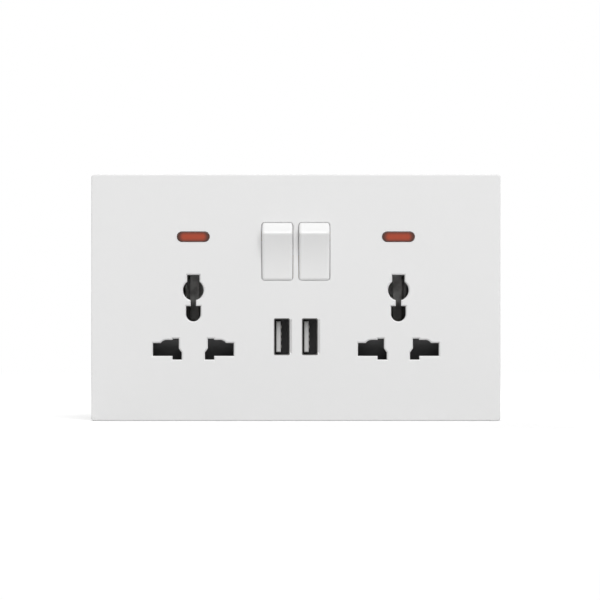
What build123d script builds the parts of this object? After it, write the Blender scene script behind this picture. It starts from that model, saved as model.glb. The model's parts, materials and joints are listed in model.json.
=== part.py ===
from build123d import *
from math import cos, radians, sin, sqrt
import os

# Double universal switched socket outlet with two neon indicators and two USB-A outlets.
# Millimetres. The front faces -Y, +Z is up, the wall surface is the plane Y = 0.
# The origin is the middle of the two wall-box screws, on the wall surface.

# Front cover
PLATE_W = 146.0
PLATE_H = 88.0
FACE_Y = -9.0
COVER_WALL = 2.4
COVER_SKIRT = 2.0
COVER_RIM_Y = -0.3
COVER_CORNER_R = 1.1
COVER_EDGE_R = 0.45
SLOT_CHAMFER = 0.45
WINDOW_CHAMFER = 0.12
COVER_BACK = FACE_Y + COVER_WALL

# Mounting frame
FRAME_GAP = 0.7
FRAME_CLEAR = 0.2
FRAME_W = PLATE_W - 2 * (COVER_SKIRT + FRAME_GAP)
FRAME_H = PLATE_H - 2 * (COVER_SKIRT + FRAME_GAP)
FRAME_FRONT = COVER_BACK + FRAME_CLEAR
FRAME_WALL = 2.4
FRAME_SKIRT = 1.6
FRAME_R = 1.0
FRAME_BACK = FRAME_FRONT + FRAME_WALL
WALL_Y = 0.0
BOX_SCREW_X = 60.3
BOX_HOLE_R = 2.1
BOX_HEAD_R = 4.2
BOX_HEAD_DEPTH = 2.6
BOX_BOSS_R = 5.2
FRAME_RIB_T = 1.4
FRAME_RIB_Y = -1.4

# Snap fit between cover and frame
SNAP_X = 44.0
SNAP_L = 10.0
SNAP_Y = -2.4
SNAP_H = 1.4
SNAP_REACH = 1.3
SNAP_SLACK = 0.5
PRY_W = 8.0
PRY_DEPTH = 1.2
PRY_CUT = 6.0

# Rear housing
HOUSING_W = 110.0
HOUSING_H = 66.0
HOUSING_R = 4.0
HOUSING_WALL = 1.8
FLOOR_Y = 16.0
REAR_Y = 18.0
REAR_EDGE_R = 1.0
SCREW_X = 49.6
SCREW_Z = 27.6
SIDE_RIB_X = (-46.0, -27.6, -9.2, 9.2, 27.6, 46.0)
SIDE_RIB_T = 1.4
SIDE_RIB_RISE = 0.8
SIDE_RIB_Y0 = 0.4
SIDE_RIB_Y1 = 16.4
COLUMN_R = 3.9
COLUMN_Y = 4.0
BOSS_R = 2.9
HEAD_SEAT_Y = 9.0
HEAD_WELL_R = 3.0
SCREW_HEAD_R = 2.7
SCREW_HEAD_H = 2.2
SCREW_R = 1.45
SCREW_TIP_Y = -4.6
SCREW_SLACK = 0.05
SCREW_CLEAR = 0.3

# Sockets: places are from the middle of each socket on its live-neutral pin line
SOCKET_X = 36.6
PIN_Z = -18.5
SLOT_OUTER_X = 14.45
SLOT_INNER_X = 5.14
SLOT_HALF = 2.32
ROUND_PIN_X = 9.5
ROUND_PIN_Z = 0.8
ROUND_PIN_R = 2.65
STEP_TOP_Z = 3.43
BLADE_X = 7.45
BLADE_TOP_Z = 3.88
BLADE_BOTTOM_Z = -3.63
SLANT_X = 4.12
SLANT_TOP_Z = 0.35
SLANT_KNEE_Z = -1.1
EARTH_W = 4.47
EARTH_TOP_Z = 26.6
EARTH_ROUND_Z = 21.15
EARTH_ROUND_R = 3.7
EARTH_NECK_W = 1.95
EARTH_LOW_W = 5.25
EARTH_LOW_TOP_Z = 15.5
EARTH_LOW_Z = 12.62
PIN_SLACK = 0.15

# Shutter case, shutter and shutter springs
CASE_HALF_W = 16.5
CASE_BOTTOM = -24.4
CASE_TOP = 10.6
CASE_R = 0.8
CASE_BACK = 1.8
CASE_FIT = 0.2
CASE_LIP = 1.2
CASE_LIP_W = 18.0
CASE_LIP_T = 1.2
WING_INNER_X = 3.6
WING_OUTER_X = 15.2
SHUTTER_TOP = 4.8
SHUTTER_BOTTOM = -4.8
SHUTTER_BRIDGE_TOP = -1.2
SHUTTER_FRONT = -3.8
SHUTTER_BACK = 1.6
RAMP_TOP_Z = 4.2
RAMP_LOW_Y = 0.4
SHUTTER_TRAVEL = 8.4
SHUTTER_FIT = 0.2
SHUTTER_SIDE_FIT = 0.3
SHUTTER_SPRING_X = 9.5
SHUTTER_SPRING_R = 1.7
SHUTTER_SPRING_TURNS = 4.5
SPRING_POCKET_HALF = 2.4
SPRING_SEAT_Z = 20.0
SPRING_WIRE = 0.5
SPRING_END = 0.1
CASE_POCKET_X = 6.2
CASE_POCKET_WALL = 1.0
EARTH_WELL_STEP_Z = 14.2
COVER_T = 1.2
COVER_POSTS = ((-15.2, -23.3), (15.2, -23.3), (-13.0, 9.3), (13.0, 9.3))
POST_T = 2.2

# Rockers and their rocking contacts
ROCKER_X = 6.6
ROCKER_Z = 16.45
ROCKER_W = 11.0
ROCKER_HOLE_W = 11.3
ROCKER_HOLE_H = 21.6
ROCKER_HOLE_R = 1.2
ROCKER_LIP = 0.8
ROCKER_EDGE_LIP = 0.3
ROCKER_EDGE_INSET = 0.37
ROCKER_POCKET_W = 27.0
ROCKER_POCKET_H = 24.4
PIVOT_Y = -3.0
ROCKER_END_R = 11.8
RIDGE_Z = 8.42
FACE_SAG = 0.7
ROCKER_BACK = 1.5
ROCKER_WALL = 1.2
ROCKER_FACE_T = 1.5
ROCKER_EDGE_R = 1.0
ROCKER_RIDGE_R = 1.2
ROCK_ANGLE = 12.0
ROCKER_FIT = 0.2
ROCKER_SWING = 1.3
TRUNNION_R = 1.3
BEARING_R = 1.35
CHEEK_T = 1.8
CHEEK_HALF = 3.4
CHEEK_BACK = -1.0
STEM_R = 2.7
STEM_END = 4.5
STEM_BORE_R = 1.75
STEM_BORE_END = -4.2
PLUNGER_R = 1.6
PLUNGER_START = 0.5
PLUNGER_TIP = 8.2
ROCKER_SPRING_R = 1.25
ROCKER_SPRING_TURNS = 4.0
VEE_ANGLE = 7.0
VEE_T = 0.8
VEE_ARM = 6.6
VEE_W = 4.0
VEE_CLEAR = 0.15
RIVET_ARM = 5.2
RIVET_R = 1.2
RIVET_H = 0.6
RIVET_GAP = 0.05

# Bars, clips and terminals, all folded from brass strip on the housing floor
BAR_T = 0.8
BAR_Y = FLOOR_Y - BAR_T
BAR_W = 3.4
CLIP_X = 9.4
CLIP_L = 10.2
LEAF_T = 0.6
LEAF_HALF = 3.2
LEAF_BEND_Y = 9.0
PINCH_Y = 6.0
PINCH_HALF = 1.9
MOUTH_Y = 3.6
MOUTH_HALF = 2.9
EARTH_CLIP_L = 15.6
EARTH_CLIP_Z = -0.2
EARTH_BAR_Z = 28.6
NEUTRAL_BAR_Z = -28.9
NEUTRAL_LEG_X = -43.0
LIVE_DROP_X = 19.8
LIVE_CROSS_Z = -11.5
FIXED_ARM = 5.85
FIXED_Z = ROCKER_Z + FIXED_ARM
LIVE_BAR_HALF = 9.2
TERMINAL_W = 7.4
TERMINAL_L = 8.6
TERMINAL_Y = 24.6
TERMINAL_R = 0.6
CABLE_Y = 20.4
CABLE_R = 2.1
CLAMP_R = 1.7
CLAMP_TIP_Y = 22.6
CLAMP_HEAD_R = 2.8
CLAMP_HEAD_H = 1.8
LIVE_TERMINAL = (0.0, 5.0)
NEUTRAL_TERMINAL = (-36.6, -26.0)
EARTH_TERMINAL_X = 27.0
EARTH_TERMINAL_Z = 26.0
SHROUD_GAP = 0.3
SHROUD_WALL = 1.4
SHROUD_Y = 24.8
FEED_W = 3.0
FEED_REACH = 2.2

# Neon indicators
NEON_Z = 21.7
NEON_W = 11.7
NEON_H = 3.7
LENS_GAP = 0.1
LENS_RISE = 0.15
LENS_RIM = 0.7
LENS_RIM_T = 0.9
LAMP_Y = -1.2
LAMP_R = 2.0
LAMP_L = 10.0
LAMP_FIT = 0.05
CRADLE_X = 3.0
CRADLE_T = 1.2
CRADLE_HALF = 3.2
CRADLE_Y = -0.2
CRADLE_MOUTH = 1.7
RESISTOR_X = 26.5
RESISTOR_R = 1.2
RESISTOR_Y0 = 2.0
RESISTOR_Y1 = 8.2
RESISTOR_WAIST = 0.8
RESISTOR_TAPER = 1.2
WIRE_R = 0.5
WIRE_BEND = 1.6
WIRE_Y = 12.0
WIRE_OUTER_X = 44.6

# USB outlets and charger
USB_X = 5.0
USB_Z = -14.0
USB_W = 5.7
USB_H = 13.2
USB_R = 0.6
USB_BEVEL = 0.8
USB_BEVEL_HALF = 6.2
USB_BEVEL_ANGLE = 45
USB_SHELL_T = 0.3
USB_SHELL_FIT = 0.05
USB_BACK = 7.2
USB_COLLAR = 1.0
USB_COLLAR_Y = -1.0
TONGUE_X0 = -2.1
TONGUE_X1 = -0.4
TONGUE_EDGE_R = 0.45
TONGUE_HALF = 5.55
TONGUE_TIP = -5.0
USB_BLOCK_Y = 3.0
USB_PIN_PITCH = (-3.5, -1.0, 1.0, 3.5)
USB_PIN_W = 1.0
USB_PIN_T = 0.25
BOARD_W = 33.4
BOARD_H = 18.6
BOARD_T = 1.6
BOARD_Z = -13.5
BOARD_BACK = USB_BACK + BOARD_T
TOWER_W = 38.0
TOWER_H = 23.0
TOWER_Y = 25.0
TOWER_WALL = 1.8
TOWER_R = 2.0
POST = 2.8
VENT_W = 1.4
VENT_L = 12.0
VENT_PITCH = 4.0
VENT_COUNT = 7
TRANSFORMER_X = -8.2
TRANSFORMER_SIZE = (12.4, 10.5, 12.0)
COIL_SIZE = (9.0, 8.5, 13.6)
COIL_R = 1.0
CAPACITORS = ((6.0, -9.0, 3.15, 9.5), (6.0, -17.5, 2.5, 8.0))
CHIP_SIZE = (5.0, 1.5, 4.0)
CHIP_X = 13.0
CAN_EDGE = 0.4

SIDES = (("left", -1), ("right", 1))


# Extrusion of an outline seen from the front, between two depths
def slab(outline, near, far):
    return extrude(Plane.XZ.offset(-far) * outline, far - near, dir=(0, -1, 0))


# Extrusion of an outline seen from the side (depth, height), between two places across
def rail(outline, start, end):
    return extrude(Plane.YZ.offset(start) * outline, end - start, dir=(1, 0, 0))


# Extrusion of an outline seen from above (across, depth), between two heights
def pillar(outline, low, high):
    return extrude(Plane.XY.offset(low) * outline, high - low, dir=(0, 0, 1))


# Rectangle between two corners
def span(x0, x1, z0, z1):
    return Pos((x0 + x1) / 2, (z0 + z1) / 2) * Rectangle(x1 - x0, z1 - z0)


# Disc standing on the wall's plane, seen from the front
def disc(x, z, r, near, far):
    return slab(Pos(x, z) * Circle(r), near, far)


def mirrored(outline):
    return outline + mirror(outline, about=Plane.YZ)


# One universal live or neutral slot, on the +X side of the socket
def line_slot():
    slot = span(SLOT_INNER_X, SLOT_OUTER_X, -SLOT_HALF, SLOT_HALF)
    slot += Pos(ROUND_PIN_X, ROUND_PIN_Z) * Circle(ROUND_PIN_R)
    slot += span(SLOT_INNER_X, ROUND_PIN_X, 0, STEP_TOP_Z)
    slot += span(SLOT_INNER_X, BLADE_X, 0, BLADE_TOP_Z)
    slot += Polygon(
        (SLOT_INNER_X, SLANT_TOP_Z),
        (SLANT_X, SLANT_KNEE_Z),
        (SLANT_X, BLADE_BOTTOM_Z),
        (BLADE_X, BLADE_BOTTOM_Z),
        (BLADE_X, SLANT_TOP_Z),
        align=None,
    )
    return slot


# Universal earth slot: square pin, round pin and the lower round-ended pin
def earth_slot():
    slot = span(-EARTH_W / 2, EARTH_W / 2, EARTH_ROUND_Z, EARTH_TOP_Z)
    slot += Pos(0, EARTH_ROUND_Z) * Circle(EARTH_ROUND_R)
    slot += span(-EARTH_NECK_W / 2, EARTH_NECK_W / 2, EARTH_LOW_Z, EARTH_ROUND_Z)
    slot += span(-EARTH_LOW_W / 2, EARTH_LOW_W / 2, EARTH_LOW_Z, EARTH_LOW_TOP_Z)
    slot += Pos(0, EARTH_LOW_Z) * Circle(EARTH_LOW_W / 2)
    return slot


# All three pin slots of the socket on one side
def pin_slots(side):
    return Pos(side * SOCKET_X, PIN_Z) * (mirrored(line_slot()) + earth_slot())


def rocker_window(side, grow_w=0.0, grow_h=0.0):
    opening = RectangleRounded(ROCKER_HOLE_W + grow_w, ROCKER_HOLE_H + grow_h, ROCKER_HOLE_R)
    return Pos(side * ROCKER_X, ROCKER_Z) * opening


def neon_window(side, grow=0.0):
    return Pos(side * SOCKET_X, NEON_Z) * SlotOverall(NEON_W + 2 * grow, NEON_H + 2 * grow)


def usb_window(side, grow=0.0):
    return Pos(side * USB_X, USB_Z) * RectangleRounded(USB_W + 2 * grow, USB_H + 2 * grow, USB_R)


# Cover: shallow moulded tray with a flat face, clipped over the frame
def front_cover():
    cover = slab(RectangleRounded(PLATE_W, PLATE_H, COVER_CORNER_R), FACE_Y, COVER_RIM_Y)
    cover = fillet(cover.faces().sort_by(Axis.Y)[0].edges(), COVER_EDGE_R)
    inner_w = PLATE_W - 2 * COVER_SKIRT
    inner_h = PLATE_H - 2 * COVER_SKIRT
    cover -= slab(RectangleRounded(inner_w, inner_h, FRAME_R), COVER_BACK, COVER_RIM_Y)
    pocket = Pos(0, ROCKER_Z) * RectangleRounded(ROCKER_POCKET_W, ROCKER_POCKET_H, FRAME_R)
    cover -= slab(pocket, FACE_Y + ROCKER_LIP, COVER_BACK)
    for _, side in SIDES:
        cover -= slab(pin_slots(side), FACE_Y, COVER_BACK)
    cover = chamfer(face_openings(cover), SLOT_CHAMFER)
    bevelled = face_openings(cover)
    for _, side in SIDES:
        cover -= slab(rocker_window(side, 0, -2 * ROCKER_EDGE_INSET), FACE_Y, COVER_BACK)
        cover -= slab(rocker_window(side), FACE_Y + ROCKER_EDGE_LIP, COVER_BACK)
        for window in (neon_window(side), usb_window(side)):
            cover -= slab(window, FACE_Y, COVER_BACK)
    cover = chamfer([edge for edge in face_openings(cover) if edge not in bevelled], WINDOW_CHAMFER)
    for _, side in SIDES:
        cover -= usb_bevel(side)
        for edge in (-1, 1):
            cover += snap_hook(side * SNAP_X, edge)
    pry = Pos(0, -PLATE_H / 2) * Rectangle(PRY_W, PRY_CUT)
    return cover - slab(pry, COVER_RIM_Y - PRY_DEPTH, COVER_RIM_Y)


# Edges of every opening in the cover's front face
def face_openings(cover):
    face = cover.faces().sort_by(Axis.Y)[0]
    return [edge for wire in face.inner_wires() for edge in wire.edges()]


# Sloped lead-in along the right-hand side of a USB window
def usb_bevel(side):
    edge = side * USB_X + USB_W / 2
    outline = Pos(0, USB_Z) * span(edge - 2 * USB_BEVEL, edge + USB_BEVEL, -USB_BEVEL_HALF, USB_BEVEL_HALF)
    return extrude(Plane.XZ.offset(-FACE_Y) * outline, -USB_BEVEL, taper=USB_BEVEL_ANGLE)


# Wedge under the top (edge 1) or bottom (edge -1) skirt that snaps into the frame's slot
def snap_hook(x, edge):
    root = PLATE_H / 2 - COVER_SKIRT
    wedge = Polygon(
        (SNAP_Y, edge * root),
        (SNAP_Y, edge * (root - SNAP_REACH)),
        (SNAP_Y + SNAP_H, edge * root),
        align=None,
    )
    return rail(wedge, x - SNAP_L / 2, x + SNAP_L / 2)


# Frame: the plate that screws to the wall box and carries the switch, shutter and lens pieces
def mounting_frame():
    frame = slab(RectangleRounded(FRAME_W, FRAME_H, FRAME_R), FRAME_FRONT, WALL_Y)
    inside_w = FRAME_W - 2 * FRAME_SKIRT
    inside_h = FRAME_H - 2 * FRAME_SKIRT
    frame -= slab(RectangleRounded(inside_w, inside_h, FRAME_R), FRAME_BACK, WALL_Y)
    for _, side in SIDES:
        frame += frame_ribs(side, inside_w / 2, inside_h / 2)
        frame += rocker_cheek(side * (ROCKER_X + ROCKER_W / 2 + ROCKER_FIT + CHEEK_T / 2))
        frame += lamp_cradle(side)
        collar = usb_window(side, USB_SHELL_FIT + USB_COLLAR)
        frame += slab(collar, FRAME_BACK, USB_COLLAR_Y)
        for z in (-SCREW_Z, SCREW_Z):
            frame += disc(side * SCREW_X, z, BOSS_R, FRAME_BACK, COLUMN_Y)
            frame -= disc(side * SCREW_X, z, SCREW_R + SCREW_SLACK, SCREW_TIP_Y - SCREW_SLACK, COLUMN_Y)
    frame += rocker_cheek(0)
    for _, side in SIDES:
        frame -= slab(rocker_window(side, 2 * ROCKER_FIT, 2 * ROCKER_SWING), FRAME_FRONT, FRAME_BACK)
        frame -= slab(case_outline(side, CASE_FIT), FRAME_FRONT, FRAME_BACK)
        frame -= slab(neon_window(side, LENS_RIM), FRAME_FRONT, FRAME_FRONT + LENS_RIM_T)
        frame -= slab(neon_window(side), FRAME_FRONT, FRAME_BACK)
        frame -= slab(usb_window(side, USB_SHELL_FIT), FRAME_FRONT, USB_COLLAR_Y)
        frame -= disc(side * BOX_SCREW_X, 0, BOX_HOLE_R, FRAME_FRONT, WALL_Y)
        frame -= disc(side * BOX_SCREW_X, 0, BOX_HEAD_R, FRAME_FRONT, FRAME_FRONT + BOX_HEAD_DEPTH)
        for edge in (-1, 1):
            catch = Pos(side * SNAP_X, edge * FRAME_H / 2) * Rectangle(SNAP_L + 2 * SNAP_SLACK, 2 * FRAME_SKIRT)
            frame -= slab(catch, SNAP_Y - CASE_FIT, SNAP_Y + SNAP_H + CASE_FIT)
    reach = ROCKER_X + ROCKER_W / 2 + ROCKER_FIT + CHEEK_T
    bearing = Pos(PIVOT_Y, ROCKER_Z) * Circle(BEARING_R)
    return frame - rail(bearing, -reach, reach)


# Screw boss and stiffening ribs at one end of the frame
def frame_ribs(side, half_w, half_h):
    ribs = disc(side * BOX_SCREW_X, 0, BOX_BOSS_R, FRAME_BACK, WALL_Y)
    near_x = HOUSING_W / 2 + FRAME_GAP
    near_z = HOUSING_H / 2 + FRAME_GAP
    for edge in (-1, 1):
        across = Pos(side * (near_x + half_w) / 2, edge * half_h / 2) * Rectangle(half_w - near_x, FRAME_RIB_T)
        upright = Pos(side * half_w / 3, edge * (near_z + half_h) / 2) * Rectangle(FRAME_RIB_T, half_h - near_z)
        ribs += slab(across, FRAME_BACK, FRAME_RIB_Y) + slab(upright, FRAME_BACK, FRAME_RIB_Y)
    return ribs


# Bearing lug behind the frame for the rocker trunnions
def rocker_cheek(x):
    lug = span(FRAME_BACK, PIVOT_Y, ROCKER_Z - CHEEK_HALF, ROCKER_Z + CHEEK_HALF)
    lug += span(PIVOT_Y, CHEEK_BACK, ROCKER_Z - CHEEK_HALF / 2, ROCKER_Z + CHEEK_HALF / 2)
    return rail(lug, x - CHEEK_T / 2, x + CHEEK_T / 2)


# Two notched ribs that grip the neon lamp behind its lens
def lamp_cradle(side):
    rib = span(FRAME_BACK, CRADLE_Y, NEON_Z - CRADLE_HALF, NEON_Z + CRADLE_HALF)
    rib -= Pos(LAMP_Y, NEON_Z) * Circle(LAMP_R)
    rib -= span(LAMP_Y, CRADLE_Y, NEON_Z - CRADLE_MOUTH, NEON_Z + CRADLE_MOUTH)
    cradle = Part()
    for x in (side * SOCKET_X - CRADLE_X, side * SOCKET_X + CRADLE_X):
        cradle += rail(rib, x - CRADLE_T / 2, x + CRADLE_T / 2)
    return cradle


# Outline of the black shutter case of one socket
def case_outline(side, grow=0.0):
    middle = (CASE_TOP + CASE_BOTTOM) / 2
    height = CASE_TOP - CASE_BOTTOM
    return Pos(side * SOCKET_X, middle) * RectangleRounded(2 * (CASE_HALF_W + grow), height + 2 * grow, CASE_R)


# Stepped earth well through the shutter case, wide enough for every earth pin
def earth_well():
    low_half = EARTH_LOW_W / 2 + PIN_SLACK
    top_half = EARTH_ROUND_R + PIN_SLACK
    well = span(-low_half, low_half, EARTH_LOW_Z - low_half, EARTH_WELL_STEP_Z)
    return well + span(-top_half, top_half, EARTH_WELL_STEP_Z, EARTH_TOP_Z + PIN_SLACK)


# Windows of the shutter case and contact cover: plain rectangles that clear every pin
def case_windows():
    line = span(
        SLANT_X - PIN_SLACK, SLOT_OUTER_X + PIN_SLACK, BLADE_BOTTOM_Z - PIN_SLACK, BLADE_TOP_Z + PIN_SLACK
    )
    return mirrored(line) + earth_well()


# Shutter case: pin guide in front, shutter channel and spring pockets behind it
def shutter_case(side):
    centre = Pos(side * SOCKET_X, PIN_Z)
    guide = slab(case_outline(side) - centre * case_windows(), FRAME_FRONT, FRAME_BACK)
    inner_x = WING_INNER_X - SHUTTER_FIT
    outer_x = WING_OUTER_X + SHUTTER_SIDE_FIT
    channel_low = SHUTTER_BOTTOM - SHUTTER_FIT / 2
    wing_top = SHUTTER_TOP + SHUTTER_TRAVEL + SHUTTER_FIT
    bridge_top = SHUTTER_BRIDGE_TOP + SHUTTER_TRAVEL + SHUTTER_FIT
    channel = span(inner_x, outer_x, channel_low, wing_top)
    channel += span(
        SHUTTER_SPRING_X - SPRING_POCKET_HALF, SHUTTER_SPRING_X + SPRING_POCKET_HALF, wing_top, SPRING_SEAT_Z
    )
    pocket_top = CASE_TOP - PIN_Z - CASE_POCKET_WALL
    channel += span(CASE_POCKET_X, outer_x, SPRING_SEAT_Z + CASE_POCKET_WALL, pocket_top)
    channel = mirrored(channel) + span(-inner_x, inner_x, channel_low, bridge_top)
    walls = case_outline(side) - centre * (channel + earth_well())
    case = guide + slab(walls, FRAME_BACK, CASE_BACK)
    for z in (CASE_TOP + CASE_LIP / 2, CASE_BOTTOM - CASE_LIP / 2):
        lip = Pos(side * SOCKET_X, z) * Rectangle(CASE_LIP_W, CASE_LIP)
        case += slab(lip, FRAME_BACK, FRAME_BACK + CASE_LIP_T)
    return case


# Shutter: two ramped wings behind the line slots, joined by a low bridge
def shutter(side):
    ramp = Polygon(
        (SHUTTER_FRONT, PIN_Z + SHUTTER_TOP),
        (SHUTTER_FRONT, PIN_Z + RAMP_TOP_Z),
        (RAMP_LOW_Y, PIN_Z + SHUTTER_BOTTOM),
        (SHUTTER_BACK, PIN_Z + SHUTTER_BOTTOM),
        (SHUTTER_BACK, PIN_Z + SHUTTER_TOP),
        align=None,
    )
    middle = side * SOCKET_X
    wings = rail(ramp, middle - WING_OUTER_X, middle + WING_OUTER_X)
    gap = span(-WING_INNER_X, WING_INNER_X, SHUTTER_BRIDGE_TOP, SHUTTER_TOP)
    return wings - slab(Pos(middle, PIN_Z) * gap, SHUTTER_FRONT, SHUTTER_BACK)


# Helical spring of square wire along Z, standing on z = 0
def coil_spring(radius, wire, height, turns):
    rise = height - wire
    helix = Helix(pitch=rise / turns, height=rise, radius=radius)
    section = Plane(helix @ 0, z_dir=helix % 0) * Rectangle(wire, wire)
    return Pos(0, 0, wire / 2) * sweep(section, path=helix, is_frenet=True)


# Pair of return springs between the shutter's wings and the seats in the case
def shutter_springs(side):
    low = PIN_Z + SHUTTER_TOP + SPRING_END
    length = SPRING_SEAT_Z - SHUTTER_TOP - 2 * SPRING_END
    coil = coil_spring(SHUTTER_SPRING_R, SPRING_WIRE, length, SHUTTER_SPRING_TURNS)
    depth = (FRAME_BACK + CASE_BACK) / 2
    pair = [Pos(side * SOCKET_X + x, depth, low) * coil for x in (-SHUTTER_SPRING_X, SHUTTER_SPRING_X)]
    return Compound(children=pair)


# Insulating plate behind the shutter that keeps the clips in line
def contact_cover(side):
    plate = case_outline(side) - Pos(side * SOCKET_X, PIN_Z) * case_windows()
    return slab(plate, CASE_BACK, CASE_BACK + COVER_T)


# Point on the rocker's end circle at a depth, on the upper (1) or lower (-1) end
def on_end(depth, end, radius):
    return (depth, end * sqrt(radius**2 - depth**2))


# Side view of the rocker about its pivot: dished face between two ridges, round ends
def rocker_outline(radius, ridge, sag_depth, back):
    ridge_depth = -sqrt(radius**2 - ridge**2)
    middle_depth = (ridge_depth + back) / 2
    face = ThreePointArc((ridge_depth, ridge), (sag_depth, 0), (ridge_depth, -ridge))
    low_end = ThreePointArc(
        (ridge_depth, -ridge), on_end(middle_depth, -1, radius), on_end(back, -1, radius)
    )
    rear = Line(on_end(back, -1, radius), on_end(back, 1, radius))
    top_end = ThreePointArc(on_end(back, 1, radius), on_end(middle_depth, 1, radius), (ridge_depth, ridge))
    return make_face([face, low_end, rear, top_end])


# Place a piece drawn about the pivot, level, at its switched-on tilt
def rocked(piece, side):
    return Pos(side * ROCKER_X, PIVOT_Y, ROCKER_Z) * Rot(ROCK_ANGLE, 0, 0) * piece


# Rocker: hollow key with trunnions and the tube that holds its spring and plunger
def rocker(side):
    half = ROCKER_W / 2
    ridge_depth = -sqrt(ROCKER_END_R**2 - RIDGE_Z**2)
    key = rail(rocker_outline(ROCKER_END_R, RIDGE_Z, ridge_depth + FACE_SAG, ROCKER_BACK), -half, half)
    ridges = key.edges().filter_by(Axis.X).sort_by(Axis.Y)[:2]
    key = fillet(ridges, ROCKER_RIDGE_R)
    flanks = key.faces().filter_by(Axis.X)
    rounded = [edge for flank in flanks for edge in flank.edges().filter_by(GeomType.CIRCLE)]
    key = fillet(rounded, ROCKER_EDGE_R)
    inner_r = ROCKER_END_R - ROCKER_WALL
    inner_ridge = RIDGE_Z - ROCKER_WALL
    hollow = rocker_outline(inner_r, inner_ridge, ridge_depth + FACE_SAG + ROCKER_FACE_T, ROCKER_BACK)
    key -= rail(hollow, ROCKER_WALL - half, half - ROCKER_WALL)
    key += disc(0, 0, STEM_R, ridge_depth + FACE_SAG + ROCKER_FACE_T / 2, STEM_END)
    key -= disc(0, 0, STEM_BORE_R, STEM_BORE_END, STEM_END)
    inner_length = ROCKER_FIT + CHEEK_T / 2 - SCREW_SLACK
    outer_length = ROCKER_FIT + CHEEK_T
    trunnion = Circle(TRUNNION_R)
    toward_middle = inner_length if side > 0 else outer_length
    toward_right = outer_length if side > 0 else inner_length
    key += rail(trunnion, -half - toward_middle, -half)
    key += rail(trunnion, half, half + toward_right)
    return rocked(key, side)


def rocker_spring(side):
    length = PLUNGER_START - STEM_BORE_END - 2 * SPRING_END
    coil = coil_spring(ROCKER_SPRING_R, SPRING_WIRE, length, ROCKER_SPRING_TURNS)
    return rocked(Pos(0, STEM_BORE_END + SPRING_END, 0) * Rot(-90, 0, 0) * coil, side)


# Plunger: round-nosed pin that the spring drives against the rocking contact
def rocker_plunger(side):
    nose_start = PLUNGER_TIP - PLUNGER_R
    outline = span(0, PLUNGER_R, PLUNGER_START, nose_start)
    nose = Pos(0, nose_start) * Circle(PLUNGER_R)
    outline += nose & span(0, PLUNGER_R, nose_start, PLUNGER_TIP)
    return rocked(revolve(outline, Axis.Y), side)


# Depth of the pivot line under the vee of the rocking contact
def fulcrum_depth():
    return PIVOT_Y + PLUNGER_TIP + VEE_CLEAR + VEE_T / cos(radians(VEE_ANGLE))


# Rocking contact: vee-folded strip that tips on the live bar's post, with a contact rivet
def rocking_contact(side):
    run = VEE_ARM * cos(radians(VEE_ANGLE))
    rise = VEE_ARM * sin(radians(VEE_ANGLE))
    thick_run = VEE_T * sin(radians(VEE_ANGLE))
    thick_rise = VEE_T * cos(radians(VEE_ANGLE))
    vee = Polygon(
        (0, 0),
        (-rise, run),
        (-rise - thick_rise, run - thick_run),
        (-VEE_T / cos(radians(VEE_ANGLE)), 0),
        (-rise - thick_rise, thick_run - run),
        (-rise, -run),
        align=None,
    )
    x = side * ROCKER_X
    y = fulcrum_depth()
    strip = Pos(x, y, ROCKER_Z) * Rot(-VEE_ANGLE, 0, 0) * rail(vee, -VEE_W / 2, VEE_W / 2)
    return strip + disc(x, ROCKER_Z + RIVET_ARM, RIVET_R, y, y + RIVET_H)


# Flat strip on the housing floor along a route seen from the front
def floor_strip(points, width=BAR_W):
    return slab(trace(Polyline(*points), width), BAR_Y, FLOOR_Y)


# Spring clip for a pin, across X about the depth axis: a channel with two sprung lips
def pin_clip(length):
    lip = [
        (FLOOR_Y - BAR_T / 2, LEAF_HALF),
        (LEAF_BEND_Y, LEAF_HALF),
        (PINCH_Y, PINCH_HALF),
        (MOUTH_Y, MOUTH_HALF),
    ]
    other = [(depth, -half) for depth, half in reversed(lip)]
    return rail(trace(Polyline(*other, *lip), LEAF_T), -length / 2, length / 2)


def line_clip(x):
    return Pos(x, 0, PIN_Z) * pin_clip(CLIP_L)


# Bar with a post under each rocking contact, the live terminal's pad and the charger's feed
def live_bar():
    half = LIVE_BAR_HALF
    pad_x, pad_z = LIVE_TERMINAL
    low = pad_z - TERMINAL_L / 2
    bar = floor_strip([(-half, ROCKER_Z), (half, ROCKER_Z)])
    bar += slab(span(pad_x - BAR_W / 2, pad_x + BAR_W / 2, low, ROCKER_Z), BAR_Y, FLOOR_Y)
    for _, side in SIDES:
        x = side * ROCKER_X
        post = span(fulcrum_depth() + RIVET_GAP, BAR_Y, ROCKER_Z - BAR_T, ROCKER_Z + BAR_T)
        bar += rail(post, x - VEE_W / 2, x + VEE_W / 2)
    return bar + board_feed(low, -1)


# Bent tab from the floor to the back of the charger's board; it reaches down (-1) or up (1)
def board_feed(z, reach):
    board_edge = BOARD_Z - reach * BOARD_H / 2
    tip = board_edge + reach * FEED_REACH
    foot = span(BOARD_BACK, BAR_Y, min(z, z - reach * BAR_T), max(z, z - reach * BAR_T))
    arm = span(BOARD_BACK, BOARD_BACK + BAR_T, min(z, tip), max(z, tip))
    return rail(foot + arm, -FEED_W / 2, FEED_W / 2)


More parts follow.
